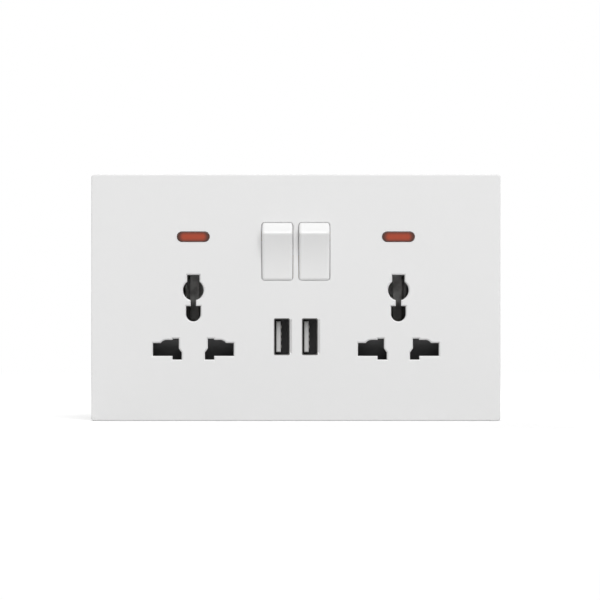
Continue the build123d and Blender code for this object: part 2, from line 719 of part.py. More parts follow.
# Switched live piece: fixed contact over the switch, strip to the socket, live clip
def live_contact(side):
    x = side * ROCKER_X
    clip_x = side * SOCKET_X + CLIP_X
    route = [(x, FIXED_Z), (side * LIVE_DROP_X, FIXED_Z)]
    if side < 0:
        route += [(side * LIVE_DROP_X, PIN_Z), (clip_x, PIN_Z)]
    else:
        route += [(side * LIVE_DROP_X, LIVE_CROSS_Z), (clip_x, LIVE_CROSS_Z), (clip_x, PIN_Z)]
    piece = floor_strip(route) + line_clip(clip_x)
    rivet_y = fulcrum_depth() + RIVET_H + RIVET_GAP
    tab_y = rivet_y + RIVET_H
    rivet_z = ROCKER_Z + RIVET_ARM
    back_z = FIXED_Z + BAR_W / 2
    tab = span(tab_y, tab_y + BAR_T, rivet_z - RIVET_R, back_z)
    tab += span(tab_y, BAR_Y, back_z - BAR_T, back_z)
    piece += rail(tab, x - VEE_W / 2, x + VEE_W / 2)
    return piece + disc(x, rivet_z, RIVET_R, rivet_y, tab_y)


def neutral_bar():
    near = NEUTRAL_LEG_X
    far = SOCKET_X - CLIP_X
    bar = floor_strip([(near, PIN_Z), (near, NEUTRAL_BAR_Z), (far, NEUTRAL_BAR_Z), (far, PIN_Z)])
    for _, side in SIDES:
        bar += line_clip(side * SOCKET_X - CLIP_X)
    return bar + board_feed(NEUTRAL_BAR_Z + BAR_W / 2, 1)


def earth_bar():
    low = EARTH_CLIP_Z - EARTH_CLIP_L / 2
    x = SOCKET_X
    bar = floor_strip([(-x, low), (-x, EARTH_BAR_Z), (x, EARTH_BAR_Z), (x, low)])
    for _, side in SIDES:
        bar += Pos(side * x, 0, EARTH_CLIP_Z) * Rot(0, 90, 0) * pin_clip(EARTH_CLIP_L)
    return bar


TERMINALS = {
    "live_terminal": LIVE_TERMINAL,
    "neutral_terminal": NEUTRAL_TERMINAL,
    "earth_terminal_left": (-EARTH_TERMINAL_X, EARTH_TERMINAL_Z),
    "earth_terminal_right": (EARTH_TERMINAL_X, EARTH_TERMINAL_Z),
}


# Terminal: brass block against its bar, with a cross bore for the cable and a clamp-screw hole
def terminal(x, z):
    block = slab(Pos(x, z) * RectangleRounded(TERMINAL_W, TERMINAL_L, TERMINAL_R), FLOOR_Y, TERMINAL_Y)
    block -= pillar(Pos(x, CABLE_Y) * Circle(CABLE_R), z - TERMINAL_L / 2, z + TERMINAL_L / 2)
    return block - disc(x, z, CLAMP_R + SCREW_SLACK, CABLE_Y, TERMINAL_Y)


def terminal_screws():
    screws = []
    for x, z in TERMINALS.values():
        shank = disc(x, z, CLAMP_R, CLAMP_TIP_Y, TERMINAL_Y)
        screws.append(shank + disc(x, z, CLAMP_HEAD_R, TERMINAL_Y, TERMINAL_Y + CLAMP_HEAD_H))
    return Compound(children=screws)


# Three-sided wall round a terminal, open on the side the cable comes from
def terminal_shroud(x, z, entry):
    half_w = TERMINAL_W / 2 + SHROUD_GAP
    half_l = TERMINAL_L / 2 + SHROUD_GAP
    outer = span(-half_w - SHROUD_WALL, half_w + SHROUD_WALL, -half_l - SHROUD_WALL, half_l)
    inner = span(-half_w, half_w, -half_l, half_l)
    wall = outer - inner
    return Pos(x, z) * (wall if entry > 0 else mirror(wall, about=Plane.XZ))


# Housing: deep tray behind the frame, with screw columns, clip posts, shrouds and charger tower
def rear_housing():
    housing = slab(RectangleRounded(HOUSING_W, HOUSING_H, HOUSING_R), FRAME_BACK, REAR_Y)
    housing = fillet(housing.faces().sort_by(Axis.Y)[-1].edges(), REAR_EDGE_R)
    for x in SIDE_RIB_X:
        rib = Pos(x, 0) * Rectangle(SIDE_RIB_T, HOUSING_H + 2 * SIDE_RIB_RISE)
        housing += slab(rib, SIDE_RIB_Y0, SIDE_RIB_Y1)
    tower = slab(Pos(0, BOARD_Z) * RectangleRounded(TOWER_W, TOWER_H, TOWER_R), FLOOR_Y, TOWER_Y)
    housing += fillet(tower.faces().sort_by(Axis.Y)[-1].edges(), REAR_EDGE_R)
    inner_w = HOUSING_W - 2 * HOUSING_WALL
    inner_h = HOUSING_H - 2 * HOUSING_WALL
    housing -= slab(RectangleRounded(inner_w, inner_h, HOUSING_R - HOUSING_WALL), FRAME_BACK, FLOOR_Y)
    tower_w = TOWER_W - 2 * TOWER_WALL
    tower_h = TOWER_H - 2 * TOWER_WALL
    housing -= slab(Pos(0, BOARD_Z) * Rectangle(tower_w, tower_h), FLOOR_Y, TOWER_Y - TOWER_WALL)
    for _, side in SIDES:
        for z in (-SCREW_Z, SCREW_Z):
            housing += disc(side * SCREW_X, z, COLUMN_R, COLUMN_Y, FLOOR_Y)
            housing -= disc(side * SCREW_X, z, SCREW_R + SCREW_CLEAR, COLUMN_Y, REAR_Y)
            housing -= disc(side * SCREW_X, z, HEAD_WELL_R, HEAD_SEAT_Y, REAR_Y)
        for x, z in COVER_POSTS:
            post = Pos(side * SOCKET_X + x, z) * Rectangle(POST_T, POST_T)
            housing += slab(post, CASE_BACK + COVER_T, FLOOR_Y)
        for edge in (-1, 1):
            corner = Pos(side * (tower_w - POST) / 2, BOARD_Z + edge * (tower_h - POST) / 2)
            housing += slab(corner * Rectangle(POST, POST), BOARD_BACK, TOWER_Y - TOWER_WALL)
    for name, (x, z) in TERMINALS.items():
        entry = -1 if name == "neutral_terminal" else 1
        housing += slab(terminal_shroud(x, z, entry), REAR_Y - REAR_EDGE_R, SHROUD_Y)
        hole = Rectangle(TERMINAL_W + 2 * SHROUD_GAP, TERMINAL_L + 2 * SHROUD_GAP)
        housing -= slab(Pos(x, z) * hole, FLOOR_Y, REAR_Y)
    for index in range(VENT_COUNT):
        x = (index - (VENT_COUNT - 1) / 2) * VENT_PITCH
        vent = Pos(x, BOARD_Z) * SlotOverall(VENT_L, VENT_W, rotation=90)
        housing -= slab(vent, TOWER_Y - TOWER_WALL, TOWER_Y)
    return housing


def housing_screws():
    screws = []
    for x in (-SCREW_X, SCREW_X):
        for z in (-SCREW_Z, SCREW_Z):
            shank = disc(x, z, SCREW_R, SCREW_TIP_Y, HEAD_SEAT_Y)
            screws.append(shank + disc(x, z, SCREW_HEAD_R, HEAD_SEAT_Y, HEAD_SEAT_Y + SCREW_HEAD_H))
    return Compound(children=screws)


# Neon lens: pill-shaped light pipe with a rim trapped between the cover and the frame
def neon_lens(side):
    lens = slab(neon_window(side, -LENS_GAP), FACE_Y - LENS_RISE, FRAME_FRONT + LENS_RIM_T)
    lens = fillet(lens.faces().sort_by(Axis.Y)[0].edges(), LENS_RISE)
    return lens + slab(neon_window(side, LENS_RIM - LENS_GAP), FRAME_FRONT, FRAME_FRONT + LENS_RIM_T)


# Neon lamp: glass tube with a drawn-in seal at each end
def neon_lamp(side):
    half = LAMP_L / 2
    seal = LAMP_R / 2
    outline = Polygon(
        (-half, 0),
        (-half, seal),
        (seal - half, LAMP_R - LAMP_FIT),
        (half - seal, LAMP_R - LAMP_FIT),
        (half, seal),
        (half, 0),
        align=None,
    )
    return Pos(side * SOCKET_X, LAMP_Y, NEON_Z) * revolve(outline, Axis.X)


def neon_resistor(side):
    return Pos(side * RESISTOR_X, 0, NEON_Z) * resistor_body()


# Dumb-bell resistor body along the depth axis, thicker over its end caps
def resistor_body():
    cap = (RESISTOR_Y1 - RESISTOR_Y0) / 4
    waist = RESISTOR_R * RESISTOR_WAIST
    outline = Polygon(
        (0, RESISTOR_Y0),
        (RESISTOR_R, RESISTOR_Y0),
        (RESISTOR_R, RESISTOR_Y0 + cap),
        (waist, RESISTOR_Y0 + cap * RESISTOR_TAPER),
        (waist, RESISTOR_Y1 - cap * RESISTOR_TAPER),
        (RESISTOR_R, RESISTOR_Y1 - cap),
        (RESISTOR_R, RESISTOR_Y1),
        (0, RESISTOR_Y1),
        align=None,
    )
    return revolve(outline, Axis.Y)


# Round wire along straight runs joined by bends
def wire(*points):
    route = FilletPolyline(*points, radius=WIRE_BEND) if len(points) > 2 else Line(*points)
    section = Plane(route @ 0, z_dir=route % 0) * Circle(WIRE_R)
    return sweep(section, path=route)


# Lamp leads: one to the outer clip, one through the resistor to the inner clip
def neon_wires(side):
    lamp_outer = side * (SOCKET_X + LAMP_L / 2)
    lamp_inner = side * (SOCKET_X - LAMP_L / 2)
    outer_x = side * WIRE_OUTER_X
    inner_x = side * RESISTOR_X
    clip_z = PIN_Z + LEAF_HALF + LEAF_T / 2
    outer = wire(
        (lamp_outer, LAMP_Y, NEON_Z),
        (outer_x, LAMP_Y, NEON_Z),
        (outer_x, WIRE_Y, NEON_Z),
        (outer_x, WIRE_Y, clip_z),
    )
    lead = wire((lamp_inner, LAMP_Y, NEON_Z), (inner_x, LAMP_Y, NEON_Z), (inner_x, RESISTOR_Y0, NEON_Z))
    tail = wire((inner_x, RESISTOR_Y1, NEON_Z), (inner_x, WIRE_Y, NEON_Z), (inner_x, WIRE_Y, clip_z))
    return Compound(children=[outer, lead, tail])


# USB outlet shell: folded steel sleeve behind the cover's window
def usb_shell(side):
    sleeve = usb_window(side) - usb_window(side, -USB_SHELL_T)
    return slab(sleeve, COVER_BACK + USB_SHELL_FIT, USB_BACK)


# Insulator: base block that fills the shell's back end and the tongue that carries the contacts
def usb_insulator(side):
    x = side * USB_X
    block = slab(usb_window(side, -USB_SHELL_T - USB_SHELL_FIT), USB_BLOCK_Y, USB_BACK)
    outline = Pos(0, USB_Z) * span(x + TONGUE_X0, x + TONGUE_X1, -TONGUE_HALF, TONGUE_HALF)
    tongue = slab(outline, TONGUE_TIP, USB_BLOCK_Y)
    return block + fillet(tongue.faces().sort_by(Axis.Y)[0].edges(), TONGUE_EDGE_R)


def usb_contacts(side):
    x = side * USB_X + TONGUE_X1
    strips = []
    for offset in USB_PIN_PITCH:
        z = USB_Z + offset
        strip = span(x, x + USB_PIN_T, z - USB_PIN_W / 2, z + USB_PIN_W / 2)
        strips.append(slab(strip, TONGUE_TIP + USB_PIN_W, USB_BLOCK_Y))
    return Compound(children=strips)


def usb_board():
    return slab(Pos(0, BOARD_Z) * Rectangle(BOARD_W, BOARD_H), USB_BACK, BOARD_BACK)


# Transformer: ferrite core frame with the wound bobbin through it
def usb_transformer():
    core_w, core_d, core_h = TRANSFORMER_SIZE
    coil_w, coil_d, coil_h = COIL_SIZE
    place = Pos(TRANSFORMER_X, BOARD_Z)
    core = slab(place * Rectangle(core_w, core_h), BOARD_BACK, BOARD_BACK + core_d)
    coil = slab(place * RectangleRounded(coil_w, coil_h, COIL_R), BOARD_BACK, BOARD_BACK + coil_d)
    return core + coil


def usb_capacitors():
    cans = []
    for x, z, radius, height in CAPACITORS:
        can = disc(x, z, radius, BOARD_BACK, BOARD_BACK + height)
        cans.append(chamfer(can.faces().sort_by(Axis.Y)[-1].edges(), CAN_EDGE))
    return Compound(children=cans)


def usb_controller():
    width, depth, height = CHIP_SIZE
    return slab(Pos(CHIP_X, BOARD_Z) * Rectangle(width, height), BOARD_BACK, BOARD_BACK + depth)


SINGLE_PIECES = (
    front_cover,
    mounting_frame,
    rear_housing,
    housing_screws,
    live_bar,
    neutral_bar,
    earth_bar,
    terminal_screws,
    usb_board,
    usb_transformer,
    usb_capacitors,
    usb_controller,
)
PAIRED_PIECES = (
    rocker,
    rocker_spring,
    rocker_plunger,
    rocking_contact,
    live_contact,
    shutter_case,
    shutter,
    shutter_springs,
    contact_cover,
    neon_lens,
    neon_lamp,
    neon_resistor,
    neon_wires,
    usb_shell,
    usb_insulator,
    usb_contacts,
)

os.makedirs("parts", exist_ok=True)
pieces = {make.__name__: make() for make in SINGLE_PIECES}
for make in PAIRED_PIECES:
    for label, side in SIDES:
        pieces[f"{make.__name__}_{label}"] = make(side)
for name, (x, z) in TERMINALS.items():
    pieces[name] = terminal(x, z)
for name, piece in pieces.items():
    export_step(piece, f"parts/{name}.step")
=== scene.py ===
import json
import math

import bmesh
import bpy
from mathutils import Matrix, Vector


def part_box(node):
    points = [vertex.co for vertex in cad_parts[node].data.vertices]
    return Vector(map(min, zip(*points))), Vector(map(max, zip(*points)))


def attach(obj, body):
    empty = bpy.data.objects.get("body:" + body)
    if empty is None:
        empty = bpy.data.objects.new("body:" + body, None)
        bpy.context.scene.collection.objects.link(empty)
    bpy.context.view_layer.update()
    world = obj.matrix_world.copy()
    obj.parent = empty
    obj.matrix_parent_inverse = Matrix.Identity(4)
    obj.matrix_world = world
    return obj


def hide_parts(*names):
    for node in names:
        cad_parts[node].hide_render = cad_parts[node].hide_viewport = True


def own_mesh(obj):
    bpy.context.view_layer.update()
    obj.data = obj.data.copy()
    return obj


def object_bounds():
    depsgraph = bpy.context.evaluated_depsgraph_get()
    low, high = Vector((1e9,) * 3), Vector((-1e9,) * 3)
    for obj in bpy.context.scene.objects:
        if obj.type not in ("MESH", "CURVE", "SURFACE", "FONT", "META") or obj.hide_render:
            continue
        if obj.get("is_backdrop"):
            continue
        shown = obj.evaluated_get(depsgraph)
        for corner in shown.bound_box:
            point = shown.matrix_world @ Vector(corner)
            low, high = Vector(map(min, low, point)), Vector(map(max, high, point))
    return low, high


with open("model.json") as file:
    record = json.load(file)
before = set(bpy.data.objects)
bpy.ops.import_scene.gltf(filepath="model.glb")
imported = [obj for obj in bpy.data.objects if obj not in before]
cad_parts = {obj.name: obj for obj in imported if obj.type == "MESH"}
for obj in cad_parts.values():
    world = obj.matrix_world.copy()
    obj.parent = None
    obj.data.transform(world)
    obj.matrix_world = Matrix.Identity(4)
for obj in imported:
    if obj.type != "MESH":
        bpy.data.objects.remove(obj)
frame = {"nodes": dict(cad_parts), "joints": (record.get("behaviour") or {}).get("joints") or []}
cad_low, cad_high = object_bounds()
nodes = frame["nodes"]


# Rear housing: the deep tray behind the mounting frame that holds every live part.
# White glass-filled nylon, injection moulded against a spark-eroded tool, so its skin is
# matt and finely pitted. Four long screws hold it to the frame from behind.
MM = 0.001
HOUSING_WHITE = (0.74, 0.74, 0.725, 1.0)
FLOW_SCALE = 38.0
FLOW_DETAIL = 3.0
PIT_DETAIL = 2.0
NOISE_MIDDLE = 0.5
GLOSS_SPREAD = 0.12
COLOUR = "NodeSocketColor"
FLOAT = "NodeSocketFloat"
FINISH = {"Colour": COLOUR, "Roughness": FLOAT, "Height": FLOAT}


def place(tree, kind, wires=None, **settings):
    """Adds a node: settings are its properties, wires its inputs, each a value or another node's output."""
    node = tree.nodes.new(kind)
    for name, value in settings.items():
        setattr(node, name, value)
    for socket, value in (wires or {}).items():
        if isinstance(value, bpy.types.NodeSocket):
            tree.links.new(value, node.inputs[socket])
        else:
            node.inputs[socket].default_value = value
    return node


def reckon(tree, operation, *values):
    """A Math node's result on one to three values or outputs."""
    return place(tree, "ShaderNodeMath", dict(enumerate(values)), operation=operation).outputs[0]


def coordinates(tree, kind="Object"):
    """The point being shaded, or its normal, in the frame's own axes."""
    return place(tree, "ShaderNodeTexCoord").outputs[kind]


def noise(tree, where, scale, detail):
    wires = {"Vector": where, "Scale": scale, "Detail": detail}
    return place(tree, "ShaderNodeTexNoise", wires).outputs["Fac"]


def mixed(tree, share, first, second, how="MIX"):
    """A colour between two others. A Mix node's colours are inputs 6 and 7 and output 2."""
    wires = {0: share, 6: first, 7: second}
    return place(tree, "ShaderNodeMix", wires, data_type="RGBA", blend_type=how).outputs[2]


def node_group(name, kind, inputs, outputs):
    """An empty node group with named inputs and outputs, and its input node's sockets."""
    group = bpy.data.node_groups.new(name, kind)
    for way, sockets in (("INPUT", inputs), ("OUTPUT", outputs)):
        for label, socket_type in sockets.items():
            group.interface.new_socket(label, in_out=way, socket_type=socket_type)
    return group, group.nodes.new("NodeGroupInput").outputs


skin, given = node_group(
    "moulded_skin",
    "ShaderNodeTree",
    {"Colour": COLOUR, "Tone Spread": FLOAT, "Roughness": FLOAT, "Pit Scale": FLOAT},
    FINISH,
)
here = coordinates(skin)
swing = reckon(skin, "SUBTRACT", noise(skin, here, FLOW_SCALE, FLOW_DETAIL), NOISE_MIDDLE)
tone = reckon(skin, "MULTIPLY_ADD", swing, given["Tone Spread"], 1.0)
tint = mixed(skin, 1.0, given["Colour"], tone, "MULTIPLY")
gloss = reckon(skin, "MULTIPLY_ADD", swing, GLOSS_SPREAD, given["Roughness"])
pits = noise(skin, here, given["Pit Scale"], PIT_DETAIL)
place(skin, "NodeGroupOutput", {"Colour": tint, "Roughness": gloss, "Height": pits})


def finished(name, group, values, depth):
    """A material whose colour, roughness and relief come from a group; depth is the relief's."""
    material = bpy.data.materials.new(name)
    material.use_nodes = True
    tree = material.node_tree
    bsdf = tree.nodes["Principled BSDF"]
    surface = place(tree, "ShaderNodeGroup", values, node_tree=group, name="finish").outputs
    relief = place(tree, "ShaderNodeBump", {"Distance": depth, "Height": surface["Height"]})
    tree.links.new(surface["Colour"], bsdf.inputs["Base Color"])
    tree.links.new(surface["Roughness"], bsdf.inputs["Roughness"])
    tree.links.new(relief.outputs["Normal"], bsdf.inputs["Normal"])
    return material


def moulded_plastic(name, colour, roughness, pit_scale, pit_depth, tone_spread=0.05):
    values = {"Colour": colour, "Tone Spread": tone_spread, "Roughness": roughness, "Pit Scale": pit_scale}
    return finished(name, skin, values, pit_depth)


def dress(material, *names):
    """Gives CAD pieces their finish."""
    for name in names:
        nodes[name].material_slots[0].material = material


housing_plastic = moulded_plastic(
    "housing_nylon", HOUSING_WHITE, roughness=0.52, pit_scale=1900.0, pit_depth=0.012 * MM
)
dress(housing_plastic, "rear_housing")


# Terminal signs: L, N and the earth sign, raised in the housing's moulding beside each terminal
# so that the fitter sees which cable goes where. Same plastic as the housing, half a millimetre proud.
SIGN_RISE = 0.5 * MM
SIGN_ROOT = 0.1 * MM
SIGN_HEIGHT = 5.2 * MM
SIGN_CLEAR = 3.6 * MM
CAPITAL_SHARE = 0.7
LETTER_WEIGHT = 0.12 * MM
EARTH_BARS = (1.0, 0.62, 0.24)
EARTH_PITCH = 1.25 * MM
STROKE = 0.8 * MM
REAR_FACE = 18.0 * MM
WELD = 0.001 * MM
TERMINAL_SIGNS = {
    "sign_live": ("live_terminal", "L", -1),
    "sign_neutral": ("neutral_terminal", "N", 1),
    "sign_earth_left": ("earth_terminal_left", None, 1),
    "sign_earth_right": ("earth_terminal_right", None, -1),
}
READ_FROM_BEHIND = Matrix.Rotation(math.pi, 4, "Z") @ Matrix.Rotation(math.pi / 2, 4, "X")


def linked(name, data):
    """Puts a mesh, curve, lamp or camera into the scene."""
    piece = bpy.data.objects.new(name, data)
    bpy.context.scene.collection.objects.link(piece)
    return piece


def meshed(name, build):
    """Ends a bmesh as a piece of its own."""
    mesh = bpy.data.meshes.new(name)
    build.to_mesh(mesh)
    build.free()
    return linked(name, mesh)


def frozen(piece):
    """Turns a piece with modifiers, a curve or a text into a plain mesh piece of the same name."""
    graph = bpy.context.evaluated_depsgraph_get()
    whole = piece.evaluated_get(graph)
    mesh = bpy.data.meshes.new_from_object(whole, preserve_all_data_layers=True, depsgraph=graph)
    name = piece.name
    bpy.data.objects.remove(piece)
    mesh.name = name
    return linked(name, mesh)


def closed(piece):
    """Merges doubles and turns the faces outwards."""
    build = bmesh.new()
    build.from_mesh(piece.data)
    bmesh.ops.remove_doubles(build, verts=build.verts, dist=WELD)
    bmesh.ops.recalc_face_normals(build, faces=build.faces)
    build.to_mesh(piece.data)
    build.free()
    return piece


def letter_sign(name, letter):
    text = bpy.data.curves.new(name, "FONT")
    text.body = letter
    text.size = SIGN_HEIGHT / CAPITAL_SHARE
    text.offset = LETTER_WEIGHT
    text.extrude = (SIGN_RISE + SIGN_ROOT) / 2
    return frozen(linked(name, text))


def rectangle(left, bottom, right, top):
    return [(left, bottom), (right, bottom), (right, top), (left, top)]


def earth_sign(name):
    """A stem on three bars that shorten downwards."""
    half = SIGN_HEIGHT / 2
    outlines = []
    for row, share in enumerate(EARTH_BARS):
        top = -row * EARTH_PITCH
        outlines.append(rectangle(-half * share, top - STROKE, half * share, top))
    # The stem rises out of the top edge of the first bar, between its last two corners
    stem = [(STROKE / 2, 0), (STROKE / 2, half), (-STROKE / 2, half), (-STROKE / 2, 0)]
    outlines[0][3:3] = stem
    build = bmesh.new()
    for outline in outlines:
        face = build.faces.new([build.verts.new((u, v, 0)) for u, v in outline])
        raised = bmesh.ops.extrude_face_region(build, geom=[face])["geom"]
        moved = [part for part in raised if isinstance(part, bmesh.types.BMVert)]
        bmesh.ops.translate(build, verts=moved, vec=(0, 0, SIGN_RISE + SIGN_ROOT))
    return meshed(name, build)


def raised_beside(sign, terminal, side):
    """Stands a flat sign on the back of the housing, to one side of a terminal, to be read from behind."""
    closed(sign).data.transform(READ_FROM_BEHIND)
    corners = [vertex.co for vertex in sign.data.vertices]
    near = Vector(min(corner[axis] for corner in corners) for axis in range(3))
    far = Vector(max(corner[axis] for corner in corners) for axis in range(3))
    low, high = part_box(terminal)
    shift = (low + high - near - far) / 2
    shift.x += side * ((high.x - low.x + far.x - near.x) / 2 + SIGN_CLEAR)
    shift.y = REAR_FACE - SIGN_ROOT - near.y
    sign.data.transform(Matrix.Translation(shift))
    sign.data.materials.clear()
    sign.data.materials.append(housing_plastic)
    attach(sign, "root")


for name, (terminal, letter, side) in TERMINAL_SIGNS.items():
    raised_beside(letter_sign(name, letter) if letter else earth_sign(name), terminal, side)


# Bars, clips and terminal blocks: brass. The bars and sprung clips are stamped and folded from rolled
# strip, the blocks cut from drawn rod and drilled; all sit on the housing's floor. The earth strip is
# tinned, with painted shade making it darker low down and painted light making it lighter at the top of its
# clips.
BRASS = (0.72, 0.52, 0.24, 1.0)
BRASS_STAIN = (0.38, 0.20, 0.07, 1.0)
TIN_PAINTED_LIGHT = (0.77, 0.768, 0.755, 1.0)
TIN_PAINTED_SHADE = (0.28, 0.277, 0.27, 1.0)
TIN_STAIN = (0.23, 0.225, 0.215, 1.0)
SHADE_FADE_LOW_Z = -3.6 * MM
SHADE_FADE_HIGH_Z = -0.6 * MM
ROLLED_STRETCH = (0.04, 1.0, 1.0)
LINE_DETAIL = 3.0
LINE_ROUGHENS = 0.16
STAIN_SCALE = 210.0
STAIN_DETAIL = 4.0
STAIN_START = 0.42
STAIN_FULL = 0.72
STAIN_ROUGHENS = 0.25
TERMINALS = ("live_terminal", "neutral_terminal", "earth_terminal_left", "earth_terminal_right")


def ramp(tree, value, low, high, shape="SMOOTHSTEP"):
    """0 up to low and 1 from high on, with a soft step between them unless another shape is given."""
    wires = {0: value, 1: low, 2: high}
    return place(tree, "ShaderNodeMapRange", wires, interpolation_type=shape).outputs[0]


metal, given = node_group(
    "worked_metal",
    "ShaderNodeTree",
    {"Colour": COLOUR, "Stain": COLOUR, "Stain Amount": FLOAT, "Roughness": FLOAT, "Line Scale": FLOAT},
    FINISH,
)
here = coordinates(metal)
drawn = place(metal, "ShaderNodeVectorMath", {0: here, 1: ROLLED_STRETCH}, operation="MULTIPLY")
lines = noise(metal, drawn.outputs["Vector"], given["Line Scale"], LINE_DETAIL)
spots = ramp(metal, noise(metal, here, STAIN_SCALE, STAIN_DETAIL), STAIN_START, STAIN_FULL)
share = reckon(metal, "MULTIPLY", spots, given["Stain Amount"])
tint = mixed(metal, share, given["Colour"], given["Stain"])
lined = reckon(metal, "MULTIPLY_ADD", lines, LINE_ROUGHENS, given["Roughness"])
gloss = reckon(metal, "MULTIPLY_ADD", share, STAIN_ROUGHENS, lined)
place(metal, "NodeGroupOutput", {"Colour": tint, "Roughness": gloss, "Height": lines})


def worked_metal(name, colour, stain, stained, roughness, line_scale, line_depth):
    values = {
        "Colour": colour,
        "Stain": stain,
        "Stain Amount": stained,
        "Roughness": roughness,
        "Line Scale": line_scale,
    }
    material = finished(name, metal, values, line_depth)
    material.node_tree.nodes["Principled BSDF"].inputs["Metallic"].default_value = 1.0
    return material


def strip_brass(name):
    return worked_metal(
        name, BRASS, BRASS_STAIN,
        stained=0.35, roughness=0.22, line_scale=2600.0, line_depth=0.004 * MM,
    )


def position(tree, kind="Object"):
    """X, Y and Z of the point being shaded, or of its normal."""
    return place(tree, "ShaderNodeSeparateXYZ", {0: coordinates(tree, kind)}).outputs


dress(strip_brass("rolled_brass"), "live_bar", "neutral_bar")

block_brass = worked_metal(
    "drawn_brass", BRASS, BRASS_STAIN,
    stained=0.2, roughness=0.26, line_scale=3400.0, line_depth=0.006 * MM,
)
dress(block_brass, *TERMINALS)

dull_tin = worked_metal(
    "tinned_brass", TIN_PAINTED_LIGHT, TIN_STAIN,
    stained=0.4, roughness=0.5, line_scale=1800.0, line_depth=0.005 * MM,
)
tree = dull_tin.node_tree
# Painted shade and painted light: the tin goes from dark low on the strip to bright at the top of its
# clips.
painted_light_share = ramp(tree, position(tree)["Z"], SHADE_FADE_LOW_Z, SHADE_FADE_HIGH_Z)
tree.links.new(mixed(tree, painted_light_share, TIN_PAINTED_SHADE, TIN_PAINTED_LIGHT), tree.nodes["finish"].inputs["Colour"])
dress(dull_tin, "earth_bar")


# Terminal screws: zinc-plated steel cheese-head clamp screws with a single slot, one in each terminal
# block, turned, rolled with a metric thread and left at whatever angle they were driven to.
ZINC = (0.60, 0.61, 0.63, 1.0)
ZINC_STAIN = (0.46, 0.44, 0.38, 1.0)
CLAMP_HEAD_R = 2.8 * MM
CLAMP_HEAD_H = 1.8 * MM
CLAMP_SHANK_R = 1.7 * MM
CLAMP_SHANK_L = 2.0 * MM
CLAMP_PITCH = 0.7 * MM
CLAMP_THREAD = CLAMP_PITCH / 4
CLAMP_SLOT_REACH = 1.2 * CLAMP_HEAD_R
CLAMP_SLOT_HALF = 0.45 * MM
CLAMP_SLOT_DEPTH = 1.0 * MM
CLAMP_TURN_STEP = 2.4
EDGE = 0.25 * MM
TURNED_SIDES = 32
RINGS_PER_PITCH = 6
SOFT_ANGLE = 32.0
GEOMETRY = "NodeSocketGeometry"
MATERIAL = "NodeSocketMaterial"
FACING_BACK = (-math.pi / 2, 0.0, 0.0)


def turned(name, profile, thread):
    """A solid of revolution about Z through (radius, height) points, from one end on the axis to the other.
    thread(angle, height) is taken off the radius."""
    build = bmesh.new()
    rings = []
    for radius, height in profile:
        ring = []
        for step in range(TURNED_SIDES if radius else 1):
            angle = math.tau * step / TURNED_SIDES
            reach = radius - thread(angle, height)
            ring.append(build.verts.new((reach * math.cos(angle), reach * math.sin(angle), height)))
        rings.append(ring)
    for low, high in zip(rings, rings[1:]):
        for step in range(TURNED_SIDES):
            after = (step + 1) % TURNED_SIDES
            corners = [low[step % len(low)], low[after % len(low)]]
            corners += [high[after % len(high)], high[step % len(high)]]
            # A ring on the axis is a single point, which a face takes only once
            build.faces.new(dict.fromkeys(corners))
    return meshed(name, build)


def soft_edged(piece, degrees=SOFT_ANGLE):
    """Shades a piece smooth, but for edges that turn by more than the angle."""
    piece.data.shade_smooth()
    piece.data.set_sharp_from_angle(angle=math.radians(degrees))
    return piece


def prism(name, outline, low, high, taper=1.0):
    """A straight solid along Z between two heights; taper shrinks its lower outline."""
    build = bmesh.new()
    lower = [build.verts.new((u * taper, v * taper, low)) for u, v in outline]
    upper = [build.verts.new((u, v, high)) for u, v in outline]
    build.faces.new(list(reversed(lower)))
    build.faces.new(upper)
    for index, corner in enumerate(lower):
        after = (index + 1) % len(outline)
        build.faces.new((corner, lower[after], upper[after], upper[index]))
    return meshed(name, build)


def cut(piece, tool):
    """Takes the tool's shape out of the piece."""
    modifier = piece.modifiers.new("cut", "BOOLEAN")
    modifier.operation = "DIFFERENCE"
    modifier.object = tool
    result = frozen(piece)
    bpy.data.objects.remove(tool)
    return result


def screw(name, head, shank_r, shank_l, pitch, thread_depth, recess):
    """A screw along Z with its head's seat at z = 0: a threaded shank below, the head's profile above."""
    rows = int(shank_l / pitch * RINGS_PER_PITCH)
    tip = shank_l - pitch

    def thread(angle, height):
        if height > -pitch / 2 or height < -tip:
            return 0.0
        phase = (height / pitch - angle / math.tau) % 1.0
        return thread_depth * abs(2.0 * phase - 1.0)

    shank = [(0.0, -shank_l), (shank_r - thread_depth, -shank_l)]
    shank += [(shank_r, -tip + tip * row / rows) for row in range(rows)]
    return soft_edged(cut(turned(name, shank + head, thread), recess))


def finish_tree(tree, geometry, material):
    """Ends a geometry tree with real faces in one material."""
    whole = place(tree, "GeometryNodeRealizeInstances", {"Geometry": geometry}).outputs["Geometry"]
    dressed = place(tree, "GeometryNodeSetMaterial", {"Geometry": whole, "Material": material})
    place(tree, "NodeGroupOutput", {"Geometry": dressed.outputs["Geometry"]})


def grown(name, tree, values, places=((0.0, 0.0, 0.0),)):
    """A plain mesh piece grown by a geometry tree on the given places."""
    mesh = bpy.data.meshes.new(name)
    mesh.from_pydata(places, [], [])
    seed = linked(name, mesh)
    modifier = seed.modifiers.new("grow", "NODES")
    modifier.node_group = tree
    for socket in tree.interface.items_tree:
        if socket.in_out == "INPUT" and socket.name in values:
            modifier[socket.identifier] = values[socket.name]
    return frozen(seed)


def vector(tree, **axes):
    """A vector with the given X, Y or Z and nought for the rest."""
    return place(tree, "ShaderNodeCombineXYZ", axes).outputs[0]


def rotation(tree, euler):
    return place(tree, "FunctionNodeEulerToRotation", {"Euler": euler}).outputs[0]


